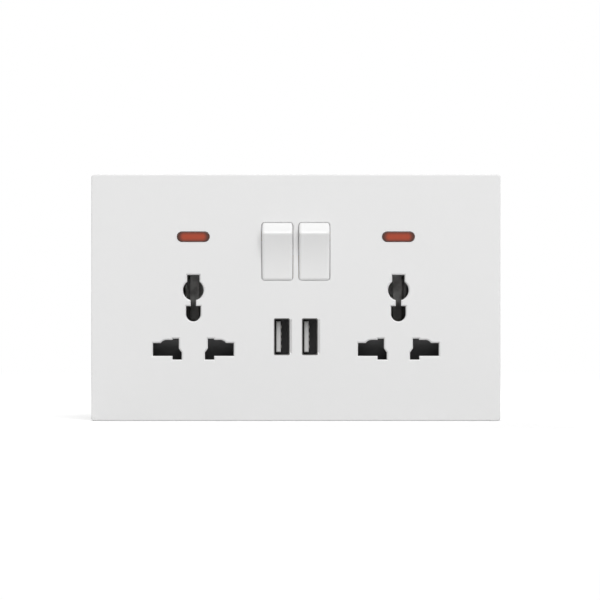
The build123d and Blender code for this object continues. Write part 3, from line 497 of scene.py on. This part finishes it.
set_out, given = node_group(
    "parts_set_out",
    "GeometryNodeTree",
    {"Geometry": GEOMETRY, "Part": "NodeSocketObject", "Turn Step": FLOAT, "Material": MATERIAL},
    {"Geometry": GEOMETRY},
)
part = place(set_out, "GeometryNodeObjectInfo", {"Object": given["Part"]}).outputs["Geometry"]
index = place(set_out, "GeometryNodeInputIndex").outputs[0]
turn = rotation(set_out, vector(set_out, Z=reckon(set_out, "MULTIPLY", index, given["Turn Step"])))
wires = {"Rotation": rotation(set_out, FACING_BACK), "Rotate By": turn}
facing = place(set_out, "FunctionNodeRotateRotation", wires, rotation_space="LOCAL").outputs[0]
wires = {"Points": given["Geometry"], "Instance": part, "Rotation": facing}
copies = place(set_out, "GeometryNodeInstanceOnPoints", wires).outputs["Instances"]
finish_tree(set_out, copies, given["Material"])

zinc = worked_metal(
    "zinc_plate", ZINC, ZINC_STAIN,
    stained=0.3, roughness=0.26, line_scale=5200.0, line_depth=0.003 * MM,
)


def screws_at(name, master, places, turn_step, node):
    """Sets out copies of a screw, heads to the back, in place of the CAD screws."""
    values = {"Part": master, "Turn Step": turn_step, "Material": zinc}
    screws = soft_edged(grown(name, set_out, values, places))
    bpy.data.objects.remove(master)
    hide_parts(node)
    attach(screws, "root")


clamp_head = [
    (CLAMP_HEAD_R - EDGE / 2, 0.0),
    (CLAMP_HEAD_R, EDGE / 2),
    (CLAMP_HEAD_R, CLAMP_HEAD_H - EDGE),
    (CLAMP_HEAD_R - EDGE, CLAMP_HEAD_H),
    (0.0, CLAMP_HEAD_H),
]
slot_outline = rectangle(-CLAMP_SLOT_REACH, -CLAMP_SLOT_HALF, CLAMP_SLOT_REACH, CLAMP_SLOT_HALF)
slot_tool = prism("slot_tool", slot_outline, CLAMP_HEAD_H - CLAMP_SLOT_DEPTH, CLAMP_HEAD_H + EDGE)
clamp_screw = screw(
    "clamp_screw", clamp_head, CLAMP_SHANK_R, CLAMP_SHANK_L, CLAMP_PITCH, CLAMP_THREAD, slot_tool
)
clamp_places = []
for terminal in TERMINALS:
    low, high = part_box(terminal)
    clamp_places.append(((low.x + high.x) / 2, high.y, (low.z + high.z) / 2))
screws_at("clamp_screws", clamp_screw, clamp_places, CLAMP_TURN_STEP, "terminal_screws")


# Charger: a green fibreglass board across the housing with a small ferrite transformer, two electrolytic
# capacitors and a controller behind it. The parts are bought in and soldered to the board.
BOARD_GREEN = (0.016, 0.115, 0.045, 1.0)
TRACK_GREEN = (0.045, 0.20, 0.085, 1.0)
TRACK_SCALE = 420.0
TRACK_WIDTH = 0.035
FERRITE = (0.030, 0.029, 0.030, 1.0)
TAPE = (0.62, 0.43, 0.05, 1.0)
CORE_HALF_H = 6.0 * MM
CAN_SLEEVE = (0.022, 0.030, 0.075, 1.0)
CAN_TOP = (0.62, 0.62, 0.61, 1.0)
CAN_TOP_FACING = 0.6
CHIP = (0.020, 0.020, 0.021, 1.0)


def painted(material, mask, colour):
    """Lays a colour over a material's own where the mask is 1."""
    tree = material.node_tree
    base = tree.nodes["Principled BSDF"].inputs["Base Color"]
    below = base.links[0].from_socket
    tree.links.new(mixed(tree, mask, below, colour), base)


def over(tree, value, limit):
    """1 where a value is above a limit."""
    return reckon(tree, "GREATER_THAN", value, limit)


def apart(tree, value, middle):
    """How far a value is from a middle, to either side."""
    return reckon(tree, "ABSOLUTE", reckon(tree, "SUBTRACT", value, middle))


board = moulded_plastic(
    "solder_mask", BOARD_GREEN, roughness=0.32, pit_scale=900.0, pit_depth=0.006 * MM
)
tree = board.node_tree
wires = {"Vector": coordinates(tree), "Scale": TRACK_SCALE, "Mortar Size": TRACK_WIDTH}
painted(board, place(tree, "ShaderNodeTexBrick", wires).outputs["Fac"], TRACK_GREEN)
dress(board, "usb_board")

core = moulded_plastic(
    "ferrite_and_tape", FERRITE, roughness=0.45, pit_scale=2400.0, pit_depth=0.01 * MM
)
tree = core.node_tree
low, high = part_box("usb_transformer")
from_middle = apart(tree, position(tree)["Z"], (low.z + high.z) / 2)
painted(core, over(tree, from_middle, CORE_HALF_H), TAPE)
dress(core, "usb_transformer")

can = moulded_plastic(
    "capacitor_sleeve", CAN_SLEEVE, roughness=0.3, pit_scale=1200.0, pit_depth=0.004 * MM
)
tree = can.node_tree
bare_top = over(tree, position(tree, "Normal")["Y"], CAN_TOP_FACING)
painted(can, bare_top, CAN_TOP)
tree.links.new(bare_top, tree.nodes["Principled BSDF"].inputs["Metallic"])
dress(can, "usb_capacitors")

chip = moulded_plastic("chip_epoxy", CHIP, roughness=0.5, pit_scale=2600.0, pit_depth=0.006 * MM)
dress(chip, "usb_controller")


# USB outlets: a folded shell of steel plated in dark nickel, round a pale tongue on a block that carries
# four tinned contact strips, the deep block painted black as painted shade; the shells stand on the board
# behind the cover's two upright windows.
NICKEL = (0.20, 0.197, 0.195, 1.0)
NICKEL_STAIN = (0.10, 0.098, 0.095, 1.0)
TONGUE = (0.57, 0.57, 0.565, 1.0)
BLOCK_PAINTED_SHADE = (0.048, 0.048, 0.049, 1.0)
PAINTED_SHADE_FROM_Y = 2.0 * MM
TINNED = (0.30, 0.29, 0.27, 1.0)
SIDES = ("left", "right")

nickel = worked_metal(
    "nickel_plate", NICKEL, NICKEL_STAIN,
    stained=0.4, roughness=0.3, line_scale=3000.0, line_depth=0.003 * MM,
)
tongue_plastic = moulded_plastic(
    "tongue_plastic", TONGUE, roughness=0.45, pit_scale=2200.0, pit_depth=0.005 * MM
)
tree = tongue_plastic.node_tree
# Painted shade: the insulator is painted black deeper in than the tongue's front, where the port is dark.
painted(tongue_plastic, over(tree, position(tree)["Y"], PAINTED_SHADE_FROM_Y), BLOCK_PAINTED_SHADE)
contact_tin = worked_metal(
    "contact_tin", TINNED, NICKEL,
    stained=0.4, roughness=0.4, line_scale=3000.0, line_depth=0.002 * MM,
)
for side in SIDES:
    dress(nickel, f"usb_shell_{side}")
    dress(tongue_plastic, f"usb_insulator_{side}")
    dress(contact_tin, f"usb_contacts_{side}")


# Shutter units: behind each set of pin slots a black case guides a sliding black shutter with two ramps,
# and a grey plate behind them keeps the clips in line. Injection-moulded PBT, matt from the tool.
CASE_BLACK = (0.040, 0.040, 0.041, 1.0)
SHUTTER_BLACK = (0.074, 0.074, 0.075, 1.0)
PLATE_GREY = (0.11, 0.11, 0.115, 1.0)

case_plastic = moulded_plastic(
    "case_black", CASE_BLACK, roughness=0.5, pit_scale=2000.0, pit_depth=0.008 * MM
)
shutter_plastic = moulded_plastic(
    "shutter_black", SHUTTER_BLACK, roughness=0.42, pit_scale=2400.0, pit_depth=0.006 * MM
)
plate_plastic = moulded_plastic(
    "contact_plate_grey", PLATE_GREY, roughness=0.55, pit_scale=1800.0, pit_depth=0.01 * MM
)
for side in SIDES:
    dress(case_plastic, f"shutter_case_{side}")
    dress(shutter_plastic, f"shutter_{side}")
    dress(plate_plastic, f"contact_cover_{side}")


# Shutter springs: two compression springs of round music wire over each shutter, with closed end turns,
# seated in pockets of the case.
SPRING_STEEL = (0.52, 0.53, 0.55, 1.0)
SPRING_STAIN = (0.34, 0.33, 0.33, 1.0)
WIRE = 0.5 * MM
WIRE_SIDES = 10
POINTS_PER_TURN = 24
SHUTTER_TURNS = 8.0
CLOSED_TURNS = 1.0
COIL_SOFT_ANGLE = 60.0

springs, given = node_group(
    "wire_springs",
    "GeometryNodeTree",
    {
        "Wire": FLOAT,
        "Coil Radius": FLOAT,
        "Length": FLOAT,
        "Turns": FLOAT,
        "Closed Turns": FLOAT,
        "Count": "NodeSocketInt",
        "Spacing": FLOAT,
        "Material": MATERIAL,
    },
    {"Geometry": GEOMETRY},
)
wires = {
    "Resolution": POINTS_PER_TURN,
    "Rotations": given["Turns"],
    "Start Radius": given["Coil Radius"],
    "End Radius": given["Coil Radius"],
    "Height": 0.0,
}
flat_coil = place(springs, "GeometryNodeCurveSpiral", wires).outputs["Curve"]
along = place(springs, "GeometryNodeSplineParameter").outputs["Factor"]
end_share = reckon(springs, "DIVIDE", given["Closed Turns"], given["Turns"])
far_share = reckon(springs, "SUBTRACT", 1.0, end_share)
end_rise = reckon(springs, "MULTIPLY", given["Closed Turns"], given["Wire"])
whole_rise = reckon(springs, "SUBTRACT", given["Length"], given["Wire"])
open_rise = reckon(springs, "SUBTRACT", whole_rise, reckon(springs, "MULTIPLY", end_rise, 2.0))
wire_radius = reckon(springs, "DIVIDE", given["Wire"], 2.0)
stretches = ((0.0, end_share, end_rise), (end_share, far_share, open_rise), (far_share, 1.0, end_rise))
rise = wire_radius
for start, end, gain in stretches:
    rise = reckon(springs, "MULTIPLY_ADD", ramp(springs, along, start, end, "LINEAR"), gain, rise)
wires = {"Geometry": flat_coil, "Offset": vector(springs, Z=rise)}
coil = place(springs, "GeometryNodeSetPosition", wires).outputs["Geometry"]
wires = {"Resolution": WIRE_SIDES, "Radius": wire_radius}
section = place(springs, "GeometryNodeCurvePrimitiveCircle", wires).outputs["Curve"]
wires = {"Curve": coil, "Profile Curve": section, "Fill Caps": True}
tube = place(springs, "GeometryNodeCurveToMesh", wires).outputs["Mesh"]
gaps = reckon(springs, "SUBTRACT", given["Count"], 1.0)
half_row = reckon(springs, "DIVIDE", reckon(springs, "MULTIPLY", gaps, given["Spacing"]), 2.0)
wires = {
    "Count": given["Count"],
    "Start Location": vector(springs, X=reckon(springs, "SUBTRACT", 0.0, half_row)),
    "Offset": vector(springs, X=given["Spacing"]),
}
row = place(springs, "GeometryNodeMeshLine", wires).outputs["Mesh"]
wires = {"Points": row, "Instance": tube}
copies = place(springs, "GeometryNodeInstanceOnPoints", wires).outputs["Instances"]
finish_tree(springs, copies, given["Material"])

music_wire = worked_metal(
    "music_wire", SPRING_STEEL, SPRING_STAIN,
    stained=0.3, roughness=0.2, line_scale=4000.0, line_depth=0.002 * MM,
)


def wire_spring(node, body, placing, coil_radius, length, turns, count=1, spacing=0.0):
    """A round-wire spring, or a row of them along X, in place of a CAD one. Placing takes it from the
    origin, where it stands along Z, to its seat."""
    values = {
        "Wire": WIRE,
        "Coil Radius": coil_radius,
        "Length": length,
        "Turns": turns,
        "Closed Turns": CLOSED_TURNS,
        "Count": count,
        "Spacing": spacing,
        "Material": music_wire,
    }
    spring = soft_edged(closed(grown(f"round_{node}", springs, values)), COIL_SOFT_ANGLE)
    spring.data.transform(placing)
    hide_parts(node)
    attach(spring, body)
    return spring


joints = {joint["name"]: joint for joint in frame["joints"]}
for side in SIDES:
    node = f"shutter_springs_{side}"
    low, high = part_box(node)
    across = high.y - low.y
    length = high.z - low.z
    pair = wire_spring(
        node,
        "root",
        Matrix.Translation(((low.x + high.x) / 2, (low.y + high.y) / 2, low.z)),
        coil_radius=(across - WIRE) / 2,
        length=length,
        turns=SHUTTER_TURNS,
        count=2,
        spacing=high.x - low.x - across,
    )
    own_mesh(pair)


# Switches: each rocker is a hollow glossy white key on two trunnions. A spring in its stem drives a nylon
# plunger against a vee-folded brass strip, which snaps over and closes a silver contact.
ROCKER_WHITE = (0.805, 0.805, 0.803, 1.0)
NYLON = (0.66, 0.64, 0.56, 1.0)
SILVER = (0.75, 0.74, 0.71, 1.0)
REST_TILT = -math.radians(joints["rocker_left_tip"]["range_deg"][0]) / 2
ROCKER_SPRING_START = -4.1 * MM
ROCKER_SPRING_END = 0.4 * MM
ROCKER_SPRING_R = 1.25 * MM
ROCKER_TURNS = 6.0
FULCRUM_Y = joints["contact_left_tip"]["pos_m"][1]
STRIP_CLEAR = 0.01 * MM
FIXED_TAB_Y = 7.4 * MM
SWITCH_LOW_Z = 12.0 * MM
INTO_STEM = Matrix.Translation((0, ROCKER_SPRING_START, 0)) @ Matrix.Rotation(-math.pi / 2, 4, "X")


def silver_tipped(name, rivet):
    """Strip brass whose contact rivet is silver; rivet gives 1 there."""
    material = strip_brass(name)
    tree = material.node_tree
    painted(material, rivet(tree, position(tree)), SILVER)
    return material


def moving_rivet(tree, at):
    return over(tree, at["Y"], FULCRUM_Y + STRIP_CLEAR)


def fixed_rivet(tree, at):
    before_tab = reckon(tree, "LESS_THAN", at["Y"], FIXED_TAB_Y)
    return reckon(tree, "MULTIPLY", before_tab, over(tree, at["Z"], SWITCH_LOW_Z))


rocker_plastic = moulded_plastic(
    "rocker_gloss", ROCKER_WHITE, roughness=0.2, pit_scale=900.0, pit_depth=0.002 * MM, tone_spread=0.02
)
plunger_nylon = moulded_plastic(
    "plunger_nylon", NYLON, roughness=0.35, pit_scale=1600.0, pit_depth=0.004 * MM
)
moving_strip = silver_tipped("rocking_strip", moving_rivet)
fixed_strip = silver_tipped("switched_live_strip", fixed_rivet)
for side in SIDES:
    dress(rocker_plastic, f"rocker_{side}")
    dress(plunger_nylon, f"rocker_plunger_{side}")
    dress(moving_strip, f"rocking_contact_{side}")
    dress(fixed_strip, f"live_contact_{side}")
    pivot = Matrix.Translation(joints[f"rocker_{side}_tip"]["pos_m"])
    wire_spring(
        f"rocker_spring_{side}",
        f"rocker_{side}",
        pivot @ Matrix.Rotation(REST_TILT, 4, "X") @ INTO_STEM,
        coil_radius=ROCKER_SPRING_R,
        length=ROCKER_SPRING_END - ROCKER_SPRING_START,
        turns=ROCKER_TURNS,
    )


# Neon indicators: a glass neon tube clipped behind each lens. One sleeved lead runs to it from the outlet's
# outer clip, and two, with a lacquered dropper resistor between them, from the inner clip.
GLASS = (0.93, 0.90, 0.86, 1.0)
GLASS_SMOKED = (0.8, 0.7, 0.6, 1.0)
GLASS_IOR = 1.5
SMOKE_SCALE = 400.0
SMOKE_DETAIL = 2.0
SMOKE_ROUGHENS = 0.1
RESISTOR_TAN = (0.52, 0.36, 0.20, 1.0)
RESISTOR_BANDS = (
    (0.30, (0.30, 0.03, 0.02, 1.0)),
    (0.42, (0.05, 0.02, 0.01, 1.0)),
    (0.54, (0.55, 0.38, 0.02, 1.0)),
    (0.70, (0.50, 0.36, 0.10, 1.0)),
)
BAND_SHARE = 0.06
SLEEVE = (0.62, 0.61, 0.58, 1.0)

lamp_glass = bpy.data.materials.new("lamp_glass")
lamp_glass.use_nodes = True
tree = lamp_glass.node_tree
bsdf = tree.nodes["Principled BSDF"]
bsdf.inputs["Transmission Weight"].default_value = 1.0
bsdf.inputs["IOR"].default_value = GLASS_IOR
smoke = noise(tree, coordinates(tree), SMOKE_SCALE, SMOKE_DETAIL)
tree.links.new(mixed(tree, smoke, GLASS, GLASS_SMOKED), bsdf.inputs["Base Color"])
tree.links.new(reckon(tree, "MULTIPLY", smoke, SMOKE_ROUGHENS), bsdf.inputs["Roughness"])

resistor = moulded_plastic(
    "resistor_lacquer", RESISTOR_TAN, roughness=0.3, pit_scale=1500.0, pit_depth=0.004 * MM
)
tree = resistor.node_tree
low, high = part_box("neon_resistor_left")
along_body = ramp(tree, position(tree)["Y"], low.y, high.y, "LINEAR")
for middle, colour in RESISTOR_BANDS:
    inside = reckon(tree, "LESS_THAN", apart(tree, along_body, middle), BAND_SHARE / 2)
    painted(resistor, inside, colour)

sleeve = moulded_plastic("lead_sleeve", SLEEVE, roughness=0.4, pit_scale=700.0, pit_depth=0.006 * MM)
for side in SIDES:
    dress(lamp_glass, f"neon_lamp_{side}")
    dress(resistor, f"neon_resistor_{side}")
    dress(sleeve, f"neon_wires_{side}")


# Mounting frame: the white moulded plate that the two wall-box screws hold to the wall. It carries the
# rockers, shutter cases, lamps and lenses, and has two slots in each long edge for the cover's hooks.
FRAME_WHITE = (0.72, 0.72, 0.71, 1.0)
frame_plastic = moulded_plastic(
    "frame_polycarbonate", FRAME_WHITE, roughness=0.42, pit_scale=1500.0, pit_depth=0.006 * MM
)
dress(frame_plastic, "mounting_frame")


# Neon lenses: two red polycarbonate light pipes, each a pill with a soft edge. The thick edge is painted
# darker than the middle, where the wall is thin over the lamp: painted shade.
LENS_MIDDLE = (0.37, 0.044, 0.009, 1.0)
LENS_RIM_SHADE = (0.075, 0.018, 0.008, 1.0)
LENS_HALF_RUN = 3.2 * MM
LENS_R = 2.1 * MM
LENS_BRIGHT_R = 0.3 * MM


def length_of(tree, where):
    return place(tree, "ShaderNodeVectorMath", {0: where}, operation="LENGTH").outputs["Value"]


lens = moulded_plastic(
    "lens_red", LENS_MIDDLE, roughness=0.16, pit_scale=1100.0, pit_depth=0.003 * MM, tone_spread=0.2
)
tree = lens.node_tree
at = position(tree)
low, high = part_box("neon_lens_right")
run = apart(tree, reckon(tree, "ABSOLUTE", at["X"]), (low.x + high.x) / 2)
past_run = reckon(tree, "MAXIMUM", reckon(tree, "SUBTRACT", run, LENS_HALF_RUN), 0.0)
rise = apart(tree, at["Z"], (low.z + high.z) / 2)
from_spine = length_of(tree, vector(tree, X=past_run, Z=rise))
# Painted shade: the lens darkens from its spine out to its rim.
painted(lens, ramp(tree, from_spine, LENS_BRIGHT_R, LENS_R), LENS_RIM_SHADE)
dress(lens, "neon_lens_left", "neon_lens_right")


# Front cover: the screwless white plate that clips over the frame. Satin polycarbonate, moulded in one with
# its skirt and hooks; the pin slots, rocker windows, lens pills and USB windows are cut by the tool.
COVER_WHITE = (0.79, 0.79, 0.789, 1.0)
cover_plastic = moulded_plastic(
    "cover_satin", COVER_WHITE, roughness=0.36, pit_scale=700.0, pit_depth=0.0015 * MM, tone_spread=0.012
)
dress(cover_plastic, "front_cover")


# Housing screws: four zinc-plated pan-head thread-forming screws with a cross recess, sunk in the wells at
# the housing's corners and driven into the frame's bosses.
PAN_R = 2.7 * MM
PAN_H = 2.2 * MM
PAN_SIDE_SHARE = 0.45
PAN_FLAT_SHARE = 0.62
PAN_DOME_STEPS = 5
PAN_SHANK_R = 1.45 * MM
PAN_PITCH = 1.3 * MM
PAN_THREAD = 0.3 * MM
PAN_TURN_STEP = 0.9
CROSS_ARM = 1.55 * MM
CROSS_HALF = 0.36 * MM
CROSS_DEPTH = 1.5 * MM
CROSS_TAPER = 0.45

pan_head = [(PAN_R, 0.0), (PAN_R, PAN_SIDE_SHARE * PAN_H)]
for step in range(1, PAN_DOME_STEPS + 1):
    angle = math.pi / 2 * step / PAN_DOME_STEPS
    radius = PAN_R * (PAN_FLAT_SHARE + (1.0 - PAN_FLAT_SHARE) * math.cos(angle))
    pan_head.append((radius, PAN_H * (PAN_SIDE_SHARE + (1.0 - PAN_SIDE_SHARE) * math.sin(angle))))
pan_head.append((0.0, PAN_H))
arm = [(CROSS_HALF, CROSS_HALF), (CROSS_HALF, CROSS_ARM), (-CROSS_HALF, CROSS_ARM)]
cross_outline = []
for quarter in range(4):
    spin = Matrix.Rotation(quarter * math.pi / 2, 2)
    cross_outline += [tuple(spin @ Vector(corner)) for corner in arm]
cross_tool = prism("cross_tool", cross_outline, PAN_H - CROSS_DEPTH, PAN_H + EDGE, CROSS_TAPER)
low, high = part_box("housing_screws")
seat = high.y - PAN_H
pan_screw = screw("pan_screw", pan_head, PAN_SHANK_R, seat - low.y, PAN_PITCH, PAN_THREAD, cross_tool)
corner_places = []
for x in (low.x + PAN_R, high.x - PAN_R):
    for z in (low.z + PAN_R, high.z - PAN_R):
        corner_places.append((x, seat, z))
screws_at("corner_screws", pan_screw, corner_places, PAN_TURN_STEP, "housing_screws")


# Studio: a plain pale floor that the plate stands on, with its shadow, a large soft key lamp high on the
# right, a weaker one behind for the back, even fill from all round, and a camera straight in front.
WHITE = (1.0, 1.0, 1.0, 1.0)
FILL = 0.5
FLOOR_HALF = 4.0
FLOOR_SEEN = 0.80
FLOOR_BOUNCE = 0.55
FLOOR_LIFT = 0.2
FLOOR_NEAR = 0.25
FLOOR_FAR = 0.8
KEY_DISTANCE = 2.2
KEY_RISE = math.radians(46.0)
KEY_TURN = math.radians(18.0)
KEY_SIZE = 1.6
KEY_WATTS = 35.0
BACK_DISTANCE = 1.5
BACK_RISE = math.radians(40.0)
BACK_TURN = math.radians(205.0)
BACK_SIZE = 0.5
BACK_WATTS = 9.0
VIEW_DISTANCE = 1.2
VIEW_X = 1.48 * MM
VIEW_Z = -0.85 * MM
VIEW_LENS = 201.84
SENSOR = 36.0


def seen_directly(tree):
    """1 for rays from the camera, and for those that gloss and glass send on."""
    rays = place(tree, "ShaderNodeLightPath").outputs
    clear = reckon(tree, "MAXIMUM", rays["Is Camera Ray"], rays["Is Glossy Ray"])
    return reckon(tree, "MAXIMUM", clear, rays["Is Transmission Ray"])


world = bpy.data.worlds.new("studio")
world.use_nodes = True
tree = world.node_tree
background = tree.nodes["Background"]
background.inputs["Color"].default_value = WHITE
strength = reckon(tree, "MULTIPLY_ADD", seen_directly(tree), 1.0 - FILL, FILL)
tree.links.new(strength, background.inputs["Strength"])
scene = bpy.context.scene
scene.world = world

build = bmesh.new()
floor_outline = rectangle(-FLOOR_HALF, -FLOOR_HALF, FLOOR_HALF, FLOOR_HALF)
build.faces.new([build.verts.new((x, y, cad_low.z)) for x, y in floor_outline])
floor = meshed("floor", build)
floor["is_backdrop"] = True

paper = bpy.data.materials.new("floor_paper")
paper.use_nodes = True
tree = paper.node_tree
tree.nodes.remove(tree.nodes["Principled BSDF"])
bounced = place(tree, "ShaderNodeLightPath").outputs["Is Diffuse Ray"]
shade = reckon(tree, "MULTIPLY_ADD", bounced, FLOOR_BOUNCE - FLOOR_SEEN, FLOOR_SEEN)
matt = place(tree, "ShaderNodeBsdfDiffuse", {"Color": shade}).outputs[0]
clear = seen_directly(tree)
wires = {"Color": WHITE, "Strength": reckon(tree, "MULTIPLY", clear, FLOOR_LIFT)}
lift = place(tree, "ShaderNodeEmission", wires).outputs[0]
near = place(tree, "ShaderNodeAddShader", {0: matt, 1: lift}).outputs[0]
far = place(tree, "ShaderNodeEmission", {"Color": WHITE}).outputs[0]
away = ramp(tree, length_of(tree, coordinates(tree)), FLOOR_NEAR, FLOOR_FAR)
wires = {0: reckon(tree, "MULTIPLY", away, clear), 1: near, 2: far}
whole = place(tree, "ShaderNodeMixShader", wires).outputs[0]
tree.links.new(whole, tree.nodes["Material Output"].inputs["Surface"])
floor.data.materials.append(paper)


def soft_lamp(name, distance, rise, turn, size, watts):
    """A square area lamp that looks at the plate from a bearing, 0 in front and 90 on the right."""
    lamp = bpy.data.lights.new(name, "AREA")
    lamp.size = size
    lamp.energy = watts
    stand = linked(name, lamp)
    way = Vector((math.sin(turn) * math.cos(rise), -math.cos(turn) * math.cos(rise), math.sin(rise)))
    stand.location = way * distance
    stand.rotation_euler = way.to_track_quat("Z", "Y").to_euler()


soft_lamp("key_lamp", KEY_DISTANCE, KEY_RISE, KEY_TURN, KEY_SIZE, KEY_WATTS)
soft_lamp("back_lamp", BACK_DISTANCE, BACK_RISE, BACK_TURN, BACK_SIZE, BACK_WATTS)

optics = bpy.data.cameras.new("front_camera")
optics.lens = VIEW_LENS
optics.sensor_width = SENSOR
camera = linked("front_camera", optics)
camera.location = (VIEW_X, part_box("front_cover")[0].y - VIEW_DISTANCE, VIEW_Z)
camera.rotation_euler = (math.pi / 2, 0.0, 0.0)
scene.camera = camera
scene.view_settings.view_transform = "Standard"

low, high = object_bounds()
